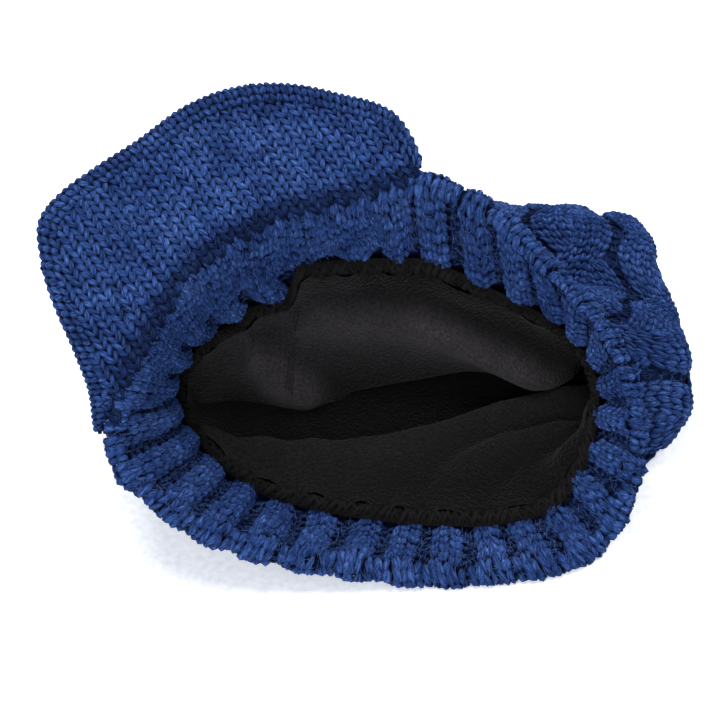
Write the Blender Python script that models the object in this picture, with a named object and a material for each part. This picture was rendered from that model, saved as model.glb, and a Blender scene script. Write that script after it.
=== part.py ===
"""Knit cap with a peak and a fleece lining, lying on its back with its mouth open.

Metres, +Z up. The cap lies on the plane z = 0, and the origin is a point of the flattened underside that
it rests on. Someone who looks into the mouth from the front sees +X to the right and +Y going away.

Places on the cap's wall are given by two values. "around" is the direction in degrees, seen from the
middle of the mouth: 0 right, 90 up at the roof, 180 left, 270 down at the floor. "along" is the length
of wall from the mouth's rim, 0 at the rim and WALL_LENGTH at the tip of the crown.
"""

import math

import bpy
import numpy as np

# Mouth
MOUTH_REACH = 0.100  # from the middle of the mouth to its rim, on the widest side
MOUTH_MIDDLE = (0.005, -0.060, 0.0555)
MOUTH_LEAN = math.radians(48)  # of the mouth's plane, back from upright
MOUTH_TURN = math.radians(9)  # of the mouth's plane, to the left

# Wall
WALL_LENGTH = 0.190
CROWN_TIP = 0.985  # share of WALL_LENGTH at which the crown's outer side is closed
CROWN_HOLLOW = 0.9  # share of WALL_LENGTH at which its hollow is closed
BODY_WIDTH = 0.200
BODY_LENGTH = 0.180
BODY_HEIGHT = 0.100
BAND_WIDTH = 0.038
KNIT_THICKNESS = 0.0055

# Relief of the knit
RIBS = 30
RIB_FACETS = 4
RELIEF_START = 0.008  # from a row where the knit is held flat to where its relief is full
RIM_SHARE = 0.25  # of the ribs' height that is left at the rim
RIB_HEIGHT = 0.0014
CABLES = 12
CABLE_HEIGHT = 0.0016
CABLE_LENGTH = 0.034  # of one crossing
CABLE_SWING = 0.9  # of a cable to each side, in radians of its round

# Peak
PEAK_DEPTH = 0.057
PEAK_THICKNESS = 0.0075
PEAK_LEAN = 0.012  # how far its front edge lies behind the mouth's plane
PEAK_ARCH = 0.008  # how far its middle lies behind its ends
PEAK_FROM, PEAK_TO = 77.0, 191.0  # around the mouth, right end to left end
PEAK_EDGE = 6  # power of its rounded front edge: a higher one is fuller

# Lining
LINING_THICKNESS = 0.0025
LINING_FIT = 0.0008  # between the lining and the ribs that it is sewn to
LINING_EASE = 0.0042  # how far the lining lies inside the crown's knit
HANG = (0.0, -0.5, -0.87)  # direction in which the slack lining hangs
OVERLOCK_RADIUS = 0.0022
OVERLOCK_SIDES = 5
LINING_FACETS = 50
LINING_ROWS = 15
LINING_CROWDING = 1.3  # power that sets its rows closer together at the sewn edge
LINING_GAP = 1.4  # from the overlock's middle to the lining, in radii of the overlock
LINING_TIP = 0.79  # share of WALL_LENGTH at which the lining is closed

# Clearances
FIT = 0.0003  # between pieces that touch
SEAM = 0.0007  # between the band's last row and the crown's first
FLOOR_EASE = 0.0025  # over which the cloth bends on to the floor
THINNEST = 0.0006  # half-width and height that a section keeps at any depth

# Rows of faces from the rim to the tip
BAND_ROWS_OUTER, BAND_ROWS_INNER = 5, 4
CROWN_ROWS_OUTER, CROWN_ROWS_INNER = 21, 10
PEAK_COLUMNS = 40
PEAK_ROWS = (0.0, 0.15, 0.3, 0.45, 0.6, 0.75, 0.88, 0.96)  # shares of its depth
TURN_STEPS = 720  # around the wall, where its length is measured

# Rows of the mouth's outline: around in degrees, reach as a share of MOUTH_REACH
MOUTH_OUTLINE = (
    (0, 1.020),
    (30, 0.840),
    (60, 0.815),
    (77, 0.810),
    (90, 0.730),
    (120, 0.735),
    (150, 0.825),
    (180, 0.940),
    (195, 1.040),
    (210, 0.960),
    (240, 0.790),
    (270, 0.752),
    (300, 0.925),
    (317, 1.090),
    (332, 1.120),
    (346, 1.090),
)

# Rows of the wall's sections, from the rim inwards: along as a share of WALL_LENGTH, the middle and the
# reach to the left and right as shares of BODY_WIDTH, where the floor and the roof lie and how far the
# right side lies behind the middle as shares of BODY_LENGTH, the height as a share of BODY_HEIGHT, and
# the power of its oval, below 1 where it is fuller at its corners
SECTIONS = (
    # along, middle, left, right, floor, roof, skew, height, power
    (0.137, 0.06, 0.450, 0.432, -0.500, -0.055, 0.010, 0.76, 1.08),
    (0.200, 0.07, 0.460, 0.450, -0.428, -0.045, 0.010, 0.64, 1.00),
    (0.285, 0.08, 0.465, 0.540, -0.340, -0.040, 0.005, 0.55, 0.88),
    (0.370, 0.09, 0.460, 0.545, -0.250, -0.030, 0.030, 0.48, 0.80),
    (0.560, 0.11, 0.420, 0.475, -0.055, 0.105, 0.050, 0.60, 0.76),
    (0.740, 0.12, 0.320, 0.400, 0.140, 0.220, 0.020, 0.46, 0.76),
    (0.890, 0.13, 0.180, 0.240, 0.268, 0.300, 0.000, 0.28, 0.90),
    (1.000, 0.13, 0.010, 0.010, 0.315, 0.316, 0.000, 0.13, 1.00),
)
FLOOR_PRESS = 0.66  # how far below its middle a section would reach without the floor, of its height

# Rows of the wall's dents and bulges: around in degrees, along as a share of WALL_LENGTH, how far out in
# metres, and the spread around in degrees and along as a share of WALL_LENGTH
DENTS = (
    (322, 0.27, 0.008, 26, 0.10),
    (80, 0.56, -0.005, 20, 0.10),
    (28, 0.66, 0.006, 18, 0.12),
    (135, 0.60, -0.007, 16, 0.10),
    (5, 0.50, -0.006, 12, 0.10),
)

# Rows of the peak's outline: around in degrees, depth in front of the rim as a share of PEAK_DEPTH
PEAK_OUTLINE = (
    (77, 0.02),
    (84, 0.38),
    (97, 0.65),
    (105, 0.76),
    (114, 0.83),
    (123, 0.85),
    (135, 0.82),
    (143, 0.86),
    (150, 0.91),
    (154, 0.91),
    (160, 0.76),
    (174, 0.34),
    (184, 0.12),
    (191, 0.02),
)

# Rows of the lining's sewn edge: around in degrees, distance from the rim as a share of BAND_WIDTH
LINING_EDGE = (
    (0, 0.56),
    (25, 0.74),
    (50, 0.78),
    (75, 0.54),
    (95, 0.50),
    (122, 0.54),
    (129, 0.70),
    (139, 0.94),
    (146, 0.84),
    (152, 0.76),
    (160, 0.84),
    (180, 1.04),
    (192, 0.98),
    (215, 0.76),
    (245, 0.64),
    (270, 0.53),
    (300, 0.38),
    (325, 0.36),
)

# Rows of the lining's slack folds: around in degrees, along as a share of WALL_LENGTH, how far the fold
# hangs (below 0, how far it stands up) in metres, and its spread around in degrees and along as a share
LINING_FOLDS = (
    (108, 0.34, 0.0165, 32, 0.10),
    (68, 0.34, 0.012, 24, 0.10),
    (262, 0.36, -0.008, 34, 0.05),
)

BLUE = (0.045, 0.078, 0.245, 1.0)
CHARCOAL = (0.012, 0.012, 0.014, 1.0)


def through(places, values, at):
    """Smooth curve through the rows (places, values), read at the given places."""
    places, values = np.asarray(places, float), np.asarray(values, float)
    slopes = np.gradient(values, places, axis=0)
    at = np.clip(np.asarray(at, float), places[0], places[-1])
    row = np.clip(np.searchsorted(places, at, side="right") - 1, 0, len(places) - 2)
    step = places[row + 1] - places[row]
    t = (at - places[row]) / step
    if values.ndim > 1:
        step, t = step[:, None], t[:, None]
    return (
        (2 * t**3 - 3 * t**2 + 1) * values[row]
        + (t**3 - 2 * t**2 + t) * step * slopes[row]
        + (3 * t**2 - 2 * t**3) * values[row + 1]
        + (t**3 - t**2) * step * slopes[row + 1]
    )


def round_trip(table, around):
    """Smooth closed curve through a table's rows (around, value), read at the given directions."""
    rows = np.array(table, float)
    turns = [rows + (turn * 360.0, 0.0) for turn in (-1, 0, 1)]
    rows = np.vstack(turns)
    return through(rows[:, 0], rows[:, 1], np.mod(around, 360.0))


def mouth_axes():
    """Unit vectors of the mouth's plane: to its right, up in it, and out of the mouth."""
    up = np.array((0.0, math.sin(MOUTH_LEAN), math.cos(MOUTH_LEAN)))
    inward = np.array((0.0, math.cos(MOUTH_LEAN), -math.sin(MOUTH_LEAN)))
    right = math.cos(MOUTH_TURN) * np.array((1.0, 0.0, 0.0)) + math.sin(MOUTH_TURN) * inward
    return right, up, np.cross(right, up)


def mouth_point(around, reach, out=0.0):
    """Points seen from the middle of the mouth in the directions around, out of its plane by out."""
    right, up, outward = mouth_axes()
    angle = np.radians(around)
    flat = np.cos(angle)[:, None] * right + np.sin(angle)[:, None] * up
    return np.array(MOUTH_MIDDLE) + np.asarray(reach)[:, None] * flat + np.multiply.outer(out, outward)


def mouth_reach(around):
    return MOUTH_REACH * round_trip(MOUTH_OUTLINE, around)


def mouth_ring(around, depth):
    """The mouth's rim at a depth inside its outer edge."""
    angle = np.radians(around)
    inset = depth * np.hypot(np.cos(angle), np.sin(angle) / math.cos(MOUTH_LEAN))
    return mouth_point(around, mouth_reach(around) - inset)


def section_ring(row, around, depth):
    """A section of the wall at a depth inside its outer side: an oval that stands on the floor."""
    _, middle, left, right, floor, roof, skew, height, power = row
    angle = np.radians(around)
    side = np.sign(np.cos(angle)) * np.abs(np.cos(angle)) ** power
    rise = np.sign(np.sin(angle)) * np.abs(np.sin(angle)) ** power
    reach = np.maximum(np.where(side > 0, right, left) * BODY_WIDTH - depth, THINNEST)
    tall = BODY_HEIGHT * height
    kept = np.maximum(tall - 2 * depth, THINNEST) / tall
    x = BODY_WIDTH * middle + reach * side
    y = BODY_LENGTH * (floor + (roof - floor) * (0.5 + 0.5 * rise * kept) + skew * side)
    z = tall * kept * (0.5 + np.where(rise > 0, 0.5, FLOOR_PRESS) * rise) + np.minimum(depth, tall / 2)
    return np.stack((x, y, z), axis=1)


def plain_wall(around, along, depth):
    """Points of the wall through the mouth's rim and the sections, without dents."""
    rings = [mouth_ring(around, depth)]
    rings += [section_ring(row, around, depth) for row in SECTIONS]
    places = np.array([0.0] + [row[0] for row in SECTIONS]) * WALL_LENGTH
    rings = np.stack(rings)
    slopes = np.gradient(rings, places, axis=0)
    at = np.clip(along, 0.0, WALL_LENGTH)
    row = np.clip(np.searchsorted(places, at, side="right") - 1, 0, len(places) - 2)
    each = np.arange(len(at))
    step = (places[row + 1] - places[row])[:, None]
    t = (at - places[row])[:, None] / step
    return (
        (2 * t**3 - 3 * t**2 + 1) * rings[row, each]
        + (t**3 - 2 * t**2 + t) * step * slopes[row, each]
        + (3 * t**2 - 2 * t**3) * rings[row + 1, each]
        + (t**3 - t**2) * step * slopes[row + 1, each]
    )


def outward(around, along):
    """Unit vectors from the wall's middle line to its outer side."""
    flush = np.zeros(len(along))
    corners = [plain_wall(np.full(len(along), turn), along, flush) for turn in range(0, 360, 45)]
    away = plain_wall(around, along, flush) - np.mean(corners, axis=0)
    return away / np.linalg.norm(away, axis=1)[:, None]


def bumps(table, around, along):
    """Sum of a table's rows (around, along, height, spread around, spread along) at each place."""
    total = np.zeros(len(around))
    for middle, length, height, spread_around, spread_along in table:
        off = (np.mod(around - middle + 180.0, 360.0) - 180.0) / spread_around
        far = (along / WALL_LENGTH - length) / spread_along
        total += height * np.exp(-(off**2) - far**2)
    return total


def on_floor(points, depth):
    """Points pressed down to the floor, or to their depth above it, with an eased bend where they meet it."""
    z = points[:, 2] - depth
    eased = (z + FLOOR_EASE) ** 2 / (4 * FLOOR_EASE)
    points[:, 2] = depth + np.where(z > FLOOR_EASE, z, np.where(z > -FLOOR_EASE, eased, 0.0))
    return points


def wall(around, along, depth, relief=0.0):
    """Points of the cap's wall at a depth inside its outer side, raised by the knit's relief off the floor."""
    around, along, depth, relief = np.broadcast_arrays(
        *(np.asarray(value, float) for value in (around, along, depth, relief))
    )
    points = plain_wall(around, along, depth - relief)
    points += bumps(DENTS, around, along)[:, None] * outward(around, along)
    return on_floor(points, depth)


def shares_around(count, along):
    """Directions that part the wall's round at the given length from the rim into equal stretches."""
    fine = np.linspace(0.0, 360.0, TURN_STEPS + 1)
    points = wall(fine, along, 0.0)
    lengths = np.concatenate(([0.0], np.cumsum(np.linalg.norm(np.diff(points, axis=0), axis=1))))
    return np.interp(np.arange(count) * lengths[-1] / count, lengths, fine)


def rib_relief(share, along):
    """Height of the ribs above the band's wall at a share of the way around. Rim and seam hold them flat."""
    from_rim = np.clip(along / RELIEF_START, RIM_SHARE, 1.0)
    from_seam = np.clip((BAND_WIDTH - along) / RELIEF_START, 0.0, 1.0)
    return from_rim * from_seam * RIB_HEIGHT * np.cos(2 * math.pi * RIBS * share)


def cable_relief(share, along):
    """Height of the cables above the crown's wall: strands that swing across each other."""
    phase = 2 * math.pi * CABLES * share
    swing = CABLE_SWING * np.sin(2 * math.pi * along / CABLE_LENGTH)
    fade = np.clip((WALL_LENGTH - along) / CABLE_LENGTH, 0.0, 1.0)
    fade = fade * np.clip((along - BAND_WIDTH) / RELIEF_START, 0.0, 1.0)
    return fade * CABLE_HEIGHT * np.cos(phase + swing)


def new_material(name, colour, roughness):
    material = bpy.data.materials.new(name)
    material.use_nodes = True
    shader = material.node_tree.nodes["Principled BSDF"]
    shader.inputs["Base Color"].default_value = colour
    shader.inputs["Roughness"].default_value = roughness
    shader.inputs["Metallic"].default_value = 0.0
    return material


def new_object(name, points, faces, colour, roughness=0.9):
    mesh = bpy.data.meshes.new(name)
    mesh.from_pydata([tuple(point) for point in points], [], faces)
    mesh.materials.append(new_material(name, colour, roughness))
    mesh.update()
    mesh.shade_smooth()
    thing = bpy.data.objects.new(name, mesh)
    bpy.context.scene.collection.objects.link(thing)
    return thing


def tube_of_rings(rings, closed_ends):
    """Faces between equal rings in a row: back to the first ring, or with the two ends closed."""
    count = len(rings[0])
    points = np.vstack(rings)
    faces = []
    last = len(rings) if not closed_ends else len(rings) - 1
    for ring in range(last):
        near, far = ring * count, ((ring + 1) % len(rings)) * count
        for i in range(count):
            j = (i + 1) % count
            faces.append((near + i, far + i, far + j, near + j))
    if closed_ends:
        faces.append(tuple(range(count)))
        faces.append(tuple(range((len(rings) - 1) * count + count - 1, (len(rings) - 1) * count - 1, -1)))
    return points, faces


def make_band():
    """Ribbed band: from the rim to where the crown's cables start."""
    count = RIBS * RIB_FACETS
    share = np.arange(count) / count
    around = shares_around(count, BAND_WIDTH)
    outer = [
        wall(around, along, 0.0, rib_relief(share, along))
        for along in np.linspace(0.0, BAND_WIDTH, BAND_ROWS_OUTER)
    ]
    inner = [
        wall(around, along, KNIT_THICKNESS, rib_relief(share, along))
        for along in np.linspace(BAND_WIDTH, 0.0, BAND_ROWS_INNER)
    ]
    points, faces = tube_of_rings(outer + inner, closed_ends=False)
    return new_object("ribbed_band", points, faces, BLUE)


def make_crown():
    """Crown: a hollow cup of knit, closed at its tip."""
    count = RIBS * RIB_FACETS // 2
    share = np.arange(count) / count
    around = shares_around(count, BAND_WIDTH)
    start = BAND_WIDTH + SEAM
    outer = [
        wall(around, along, 0.0, cable_relief(share, along))
        for along in np.linspace(start, WALL_LENGTH * CROWN_TIP, CROWN_ROWS_OUTER)
    ]
    inner = [
        wall(around, along, KNIT_THICKNESS)
        for along in np.linspace(start, WALL_LENGTH * CROWN_HOLLOW, CROWN_ROWS_INNER)
    ]
    points, faces = tube_of_rings(inner[::-1] + outer, closed_ends=True)
    return new_object("crown", points, faces, BLUE)


def lining_edge(around):
    return BAND_WIDTH * round_trip(LINING_EDGE, around)


def lining_side(around, along, depth):
    """Points of the lining: loose inside the crown's knit, with slack folds that hang towards the mouth."""
    ease = np.clip((along - BAND_WIDTH) / BAND_WIDTH, 0.0, 1.0)
    points = wall(around, along, KNIT_THICKNESS + RIB_HEIGHT + LINING_FIT + LINING_EASE * ease + depth)
    return points + np.multiply.outer(bumps(LINING_FOLDS, around, along), HANG)


def make_lining():
    """Fleece lining: a thin cup inside the knit, from its sewn edge to the tip."""
    around = shares_around(LINING_FACETS, BAND_WIDTH)
    start = lining_edge(around) + LINING_GAP * OVERLOCK_RADIUS + SEAM
    tip = WALL_LENGTH * LINING_TIP
    inner_tip = tip - 2 * LINING_THICKNESS
    outer, inner = [], []
    for share in np.linspace(0.0, 1.0, LINING_ROWS) ** LINING_CROWDING:
        outer.append(lining_side(around, start + (tip - start) * share, 0.0))
        inner.append(lining_side(around, start + (inner_tip - start) * share, LINING_THICKNESS))
    points, faces = tube_of_rings(inner[::-1] + outer, closed_ends=True)
    return new_object("lining", points, faces, CHARCOAL)


def make_overlock():
    """Overlock stitching: a raised cord of thread around the lining's sewn edge."""
    around = shares_around(2 * LINING_FACETS, BAND_WIDTH)
    along = lining_edge(around)
    depth = KNIT_THICKNESS + RIB_HEIGHT + FIT + OVERLOCK_RADIUS
    radius = OVERLOCK_RADIUS - FIT
    rings = []
    for side in range(OVERLOCK_SIDES):
        angle = 2 * math.pi * side / OVERLOCK_SIDES
        rings.append(wall(around, along + radius * math.cos(angle), depth + radius * math.sin(angle)))
    points, faces = tube_of_rings(rings, closed_ends=False)
    return new_object("lining_overlock", points, faces, CHARCOAL)


def peak_side(around, share, out):
    """Points of the peak from its sewn edge, share 0, to its front edge, share 1."""
    table = np.array(PEAK_OUTLINE, float)
    depth = PEAK_DEPTH * through(table[:, 0], table[:, 1], around)
    start = mouth_reach(around) + RIM_SHARE * RIB_HEIGHT + FIT
    across = (around - PEAK_FROM) / (PEAK_TO - PEAK_FROM)
    lean = PEAK_LEAN * share * depth / PEAK_DEPTH + PEAK_ARCH * share * np.sin(math.pi * across)
    return mouth_point(around, start + share * depth, out - lean)


def make_peak():
    """Peak: a stiff plate in a knit cover, sewn to the rim's front."""
    around = np.linspace(PEAK_FROM, PEAK_TO, PEAK_COLUMNS)
    half = PEAK_THICKNESS / 2
    under, upper = [], []
    for share in PEAK_ROWS:
        swell = half * math.sqrt(max(1.0 - share**PEAK_EDGE, 0.0))
        under.append(peak_side(around, share, swell - half))
        upper.append(peak_side(around, share, -swell - half))
    front = [peak_side(around, 1.0, -half)]
    rows = under + front + upper[::-1]
    count = len(around)
    points = np.vstack(rows)
    faces = []
    for row in range(len(rows)):
        near, far = row * count, ((row + 1) % len(rows)) * count
        for i in range(count - 1):
            faces.append((near + i, far + i, far + i + 1, near + i + 1))
    faces.append(tuple(row * count for row in reversed(range(len(rows)))))
    faces.append(tuple(row * count + count - 1 for row in range(len(rows))))
    return new_object("peak", points, faces, BLUE)


def clear_scene():
    for thing in list(bpy.data.objects):
        bpy.data.objects.remove(thing, do_unlink=True)


clear_scene()
make_band()
make_crown()
make_lining()
make_overlock()
make_peak()
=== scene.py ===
"""Knit cap with a peak and a fleece lining: its stitches, lining, materials, floor, light and camera.

Metres, +Z up, in the part's own frame. Places on the cap's wall are given as in the part: "around" is the
direction in degrees seen from the middle of the mouth, and "along" is the length of wall from the rim.
"""

import math

import bpy
import numpy as np
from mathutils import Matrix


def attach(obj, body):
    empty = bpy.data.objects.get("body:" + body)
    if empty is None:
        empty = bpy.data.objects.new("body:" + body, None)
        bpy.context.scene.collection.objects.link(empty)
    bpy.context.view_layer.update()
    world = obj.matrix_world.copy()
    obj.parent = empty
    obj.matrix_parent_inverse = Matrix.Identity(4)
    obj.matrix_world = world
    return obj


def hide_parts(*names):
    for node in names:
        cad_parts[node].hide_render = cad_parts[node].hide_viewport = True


# Mouth
MOUTH_REACH = 0.100  # from the middle of the mouth to its rim, on the widest side
MOUTH_MIDDLE = (0.005, -0.060, 0.0555)
MOUTH_LEAN = math.radians(48)  # of the mouth's plane, back from upright
MOUTH_TURN = math.radians(9)  # of the mouth's plane, to the left

# Wall
WALL_LENGTH = 0.190
CROWN_TIP = 0.985  # share of WALL_LENGTH at which the crown's outer side is closed
BODY_WIDTH = 0.200
BODY_LENGTH = 0.180
BODY_HEIGHT = 0.100
BAND_WIDTH = 0.038
KNIT_THICKNESS = 0.0055

# Relief of the knit
RIBS = 30
RELIEF_START = 0.008  # from a row where the knit is held flat to where its relief is full
RIM_SHARE = 0.25  # of the ribs' height that is left at the rim
RIB_HEIGHT = 0.0014

# Peak
PEAK_DEPTH = 0.057
PEAK_THICKNESS = 0.0075
PEAK_LEAN = 0.012  # how far its front edge lies behind the mouth's plane
PEAK_ARCH = 0.008  # how far its middle lies behind its ends
PEAK_FROM, PEAK_TO = 77.0, 191.0  # around the mouth, right end to left end
PEAK_EDGE = 6  # power of its rounded front edge: a higher one is fuller

# Lining
LINING_THICKNESS = 0.0025
LINING_FIT = 0.0008  # between the lining and the ribs that it is sewn to
LINING_EASE = 0.0042  # how far the lining lies inside the crown's knit
HANG = (0.0, -0.5, -0.87)  # direction in which the slack lining hangs
OVERLOCK_RADIUS = 0.0022
LINING_TIP = 0.79  # share of WALL_LENGTH at which the lining is closed

# Clearances
FIT = 0.0003  # between pieces that touch
SEAM = 0.0007  # between the band's last row and the crown's first
FLOOR_EASE = 0.0025  # over which the cloth bends on to the floor
THINNEST = 0.0006  # half-width and height that a section keeps at any depth

TURN_STEPS = 720  # around the wall, where its length is measured

# Rows of the mouth's outline: around in degrees, reach as a share of MOUTH_REACH
MOUTH_OUTLINE = (
    (0, 1.020), (30, 0.840), (60, 0.815), (77, 0.810), (90, 0.730), (120, 0.735),
    (150, 0.825), (180, 0.940), (195, 1.040), (210, 0.960), (240, 0.790), (270, 0.752),
    (300, 0.925), (317, 1.090), (332, 1.120), (346, 1.090),
)

# Rows of the wall's sections, from the rim inwards: along as a share of WALL_LENGTH, the middle and the
# reach to the left and right as shares of BODY_WIDTH, where the floor and the roof lie and how far the
# right side lies behind the middle as shares of BODY_LENGTH, the height as a share of BODY_HEIGHT, and
# the power of its oval, below 1 where it is fuller at its corners
SECTIONS = (
    # along, middle, left, right, floor, roof, skew, height, power
    (0.137, 0.06, 0.450, 0.432, -0.500, -0.055, 0.010, 0.76, 1.08),
    (0.200, 0.07, 0.460, 0.450, -0.428, -0.045, 0.010, 0.64, 1.00),
    (0.285, 0.08, 0.465, 0.540, -0.340, -0.040, 0.005, 0.55, 0.88),
    (0.370, 0.09, 0.460, 0.545, -0.250, -0.030, 0.030, 0.48, 0.80),
    (0.560, 0.11, 0.420, 0.475, -0.055, 0.105, 0.050, 0.60, 0.76),
    (0.740, 0.12, 0.320, 0.400, 0.140, 0.220, 0.020, 0.46, 0.76),
    (0.890, 0.13, 0.180, 0.240, 0.268, 0.300, 0.000, 0.28, 0.90),
    (1.000, 0.13, 0.010, 0.010, 0.315, 0.316, 0.000, 0.13, 1.00),
)
FLOOR_PRESS = 0.66  # how far below its middle a section would reach without the floor, of its height

# Rows of the wall's dents and bulges: around in degrees, along as a share of WALL_LENGTH, how far out in
# metres, and the spread around in degrees and along as a share of WALL_LENGTH
DENTS = (
    (322, 0.27, 0.008, 26, 0.10),
    (80, 0.56, -0.005, 20, 0.10),
    (28, 0.66, 0.006, 18, 0.12),
    (135, 0.60, -0.007, 16, 0.10),
    (5, 0.50, -0.006, 12, 0.10),
)

# Rows of the peak's outline: around in degrees, depth in front of the rim as a share of PEAK_DEPTH
PEAK_OUTLINE = (
    (77, 0.02), (84, 0.38), (97, 0.65), (105, 0.76), (114, 0.83), (123, 0.85),
    (135, 0.82), (143, 0.86), (150, 0.91), (154, 0.91), (160, 0.76), (174, 0.34),
    (184, 0.12), (191, 0.02),
)

# Stitches
RIB_COLUMNS = 3  # raised columns in a rib
GUTTER = 1.7  # width of the sunken stretch between two ribs, in columns
EVEN_FROM_RIM = 0.080  # along which columns evenly spaced at the rim turn to even spacing in the crown
RIB_SHOWN = 0.0016  # height of the ribs of yarn above the wall
RIB_SLACK = 0.35  # by how much it varies
RIB_POWER = 0.7  # of its round, below 1 where it is fuller
UNEVEN = 0.10  # spread of the yarn's radius
FLAT_AT_PEAK = 0.010  # from the rim, how far the ribs lie flat where the peak starts
PLAIN_AT_PEAK = 0.015  # from the rim, how far there are no gutters there
PLAIN_INSET, LOOPS_INSET = 4.0, 9.0  # degrees from the peak's ends where that starts, and the loops end
PEAK_FADE = 12.0  # degrees over which the ribs flatten towards the peak
SLACK_WAVES = 11  # of the ribs' height, around the mouth
DRIFT_AROUND, DRIFT_ALONG = 0.0008, 0.0005  # slow drift of the stitches, in shares around and in metres
STRAY, BAR_STRAY = 0.0003, 0.0004  # of each stitch and each bar between ribs, in the same terms
EDGE_STRAY = 0.0016  # of each loop along the rim, as a share around
CROWN_STRAY = 0.0002
ROW_HEIGHT = 0.0031
YARN = 0.00130  # radius of a leg of yarn in the ribs
YARN_BED = 0.0012  # how deep the sheet below the stitches lies; its near-black colour is painted shade
CAST_OFF = 0.0034  # on both sides of the rim's middle, the stretch that the edge loops cover
EDGE_LOOPS = 96
EDGE_ROWS = (-1.3, -0.55, 0.2)  # where their rows start, from the rim's middle, as shares of CAST_OFF
EDGE_REACH = 0.95  # their height, as a share of CAST_OFF
CROWN_ROW = 0.0034
CROWN_CABLES = 14
CABLE_GAP = 0.6  # between cables, in columns
STRAND_COLUMNS = 4
STRAND_SPREAD = 1.18  # of a strand's columns, so that its neighbours close up to it
STRAND_HEIGHT = 0.0030
FULL_COLUMN = 0.0037  # width of a column at which its yarn has its own radius
LEAST_COLUMN = 0.0013  # below which a column is left out
TWIST_LENGTH = 0.030  # of one crossing
CROWN_PART = 0.100  # along, where the crown's stitches are parted into two meshes
CROWN_END = 0.186
PEAK_COLUMN, PEAK_ROW = 0.0055, 0.0031
PEAK_YARN = 0.00128
PEAK_OPEN = 0.018  # from its outer edge, where the stitches are pulled open at its round ends
PEAK_CREASE_SHADE = 0.010  # along which painted shade darkens the peak's stitches towards the fold at the rim
PEAK_TURN = math.radians(33.0)  # of the peak's rows in the mouth's plane
PEAK_SINK = 0.0045  # how far the peak's cover runs in under the rim
PEAK_ACROSS, PEAK_UP = (-0.16, 0.10), (0.03, 0.16)  # reach of its grid of stitches, before it is trimmed
PEAK_FRONT = 142.0  # direction around of the middle of its front
PEAK_HEM = 0.0022  # at its outer edge, left to the edge stitches
PEAK_TRIM = 1.5  # degrees at its ends without a stitch
PEAK_STRAY, PEAK_ROW_STRAY = 0.00018, 0.00012  # of each stitch
LEAST_DEPTH = 0.002  # of the peak, at its ends
EDGE_COUNTED = 0.006  # row along which the edge's stitches are counted
EDGE_WRAP = 0.0030  # how far the edge stitches run on to each face of the peak

EDGE_TUCK = 0.0030  # how far the knit runs in under the lining's edge
ON_FLOOR = 0.0001  # lowest that pressed yarn lies
PLY_TWIST = math.radians(24.0)  # of the plies in a strand of yarn
FIBRE_WIDTH = 0.00011
FIBRE_RISE = 0.0010
FIBRE_LENGTH = 0.0031
FIBRE_INSET = 0.002  # from the ends of a cloth
BAND_FIBRES, BAND_FIBRE_BASE = 16000, 0.0014  # how many, and the height at which they start
CROWN_FIBRES, CROWN_FIBRE_BASE = 12000, 0.0030
TIP_RINGS = (0.75, 0.5, 0.25, 0.02)  # rings that close a cloth's tip, as shares of its last one
TIP_STITCHES = 22
TIP_RUN = 0.008  # from the crown's last row to the middle of its tip
OVERLOCK_LOOPS = 150
OVERLOCK_THREAD = 0.00085  # radius
LOOP_DRIFT = 0.0008  # by which its loops stray up and down
THREAD_BED = 0.0007  # how deep the cord below the thread lies
THREAD_FIBRES, THREAD_FIBRE_BASE = 9000, 0.0006
THREAD_FIBRE = 0.0016  # length

# Rows of a leg of yarn: across in columns, up in rows, height and girth in yarn radii
LEG = (
    (0.04, -0.30, -0.70, 0.45),
    (0.12, 0.08, 0.10, 0.92),
    (0.25, 0.46, 0.45, 1.00),
    (0.36, 0.86, 0.10, 0.92),
    (0.44, 1.24, -0.70, 0.45),
)
# Rows of a leg of yarn in the peak, which is longer and more slanted, in the same terms
PEAK_LEG = (
    (0.02, -0.50, -0.80, 0.50),
    (0.09, 0.02, 0.20, 0.95),
    (0.25, 0.50, 0.50, 1.00),
    (0.39, 0.98, 0.20, 0.95),
    (0.48, 1.50, -0.80, 0.50),
)
# Rows of the bar of yarn that shows between two ribs, in the same terms
BAR = (
    (-0.62, 0.62, -0.9, 0.5),
    (-0.30, 0.50, -0.2, 0.9),
    (0.00, 0.46, 0.0, 1.0),
    (0.30, 0.50, -0.2, 0.9),
    (0.62, 0.62, -0.9, 0.5),
)
# Rows of the overlock's threads, in the same terms, the height of the cord as one row
OVER = (
    (-0.9, 0.00, -0.6, 0.7),
    (-0.5, 0.25, 0.2, 1.0),
    (0.0, 0.50, 0.4, 1.0),
    (0.5, 0.75, 0.2, 1.0),
    (0.9, 1.00, -0.6, 0.7),
)
OVER_BACK = (
    (1.0, 0.00, -0.8, 0.7),
    (0.6, 0.25, -0.1, 0.9),
    (0.1, 0.50, 0.1, 0.9),
    (-0.5, 0.75, -0.1, 0.9),
    (-0.9, 1.00, -0.8, 0.7),
)
CHAIN = (
    (-0.7, 0.1, -0.2, 0.8),
    (-0.4, 0.5, 0.7, 1.1),
    (0.0, 0.7, 1.0, 1.2),
    (0.4, 0.5, 0.7, 1.1),
    (0.7, 0.1, -0.2, 0.8),
)
# Rows of the lining's sewn edge as it shows: around in degrees, distance from the rim as a share of
# BAND_WIDTH. It steps where a pleat is sewn down.
EDGE_STEPS = (
    (0, 0.56), (25, 0.74), (50, 0.78), (75, 0.54), (95, 0.50), (114, 0.42),
    (118, 0.40), (121, 0.80), (133, 0.68), (136, 0.94), (143, 0.82), (152, 0.80),
    (160, 0.88), (180, 1.04), (192, 0.98), (215, 0.76), (245, 0.64), (270, 0.53),
    (300, 0.38), (325, 0.36),
)
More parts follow.
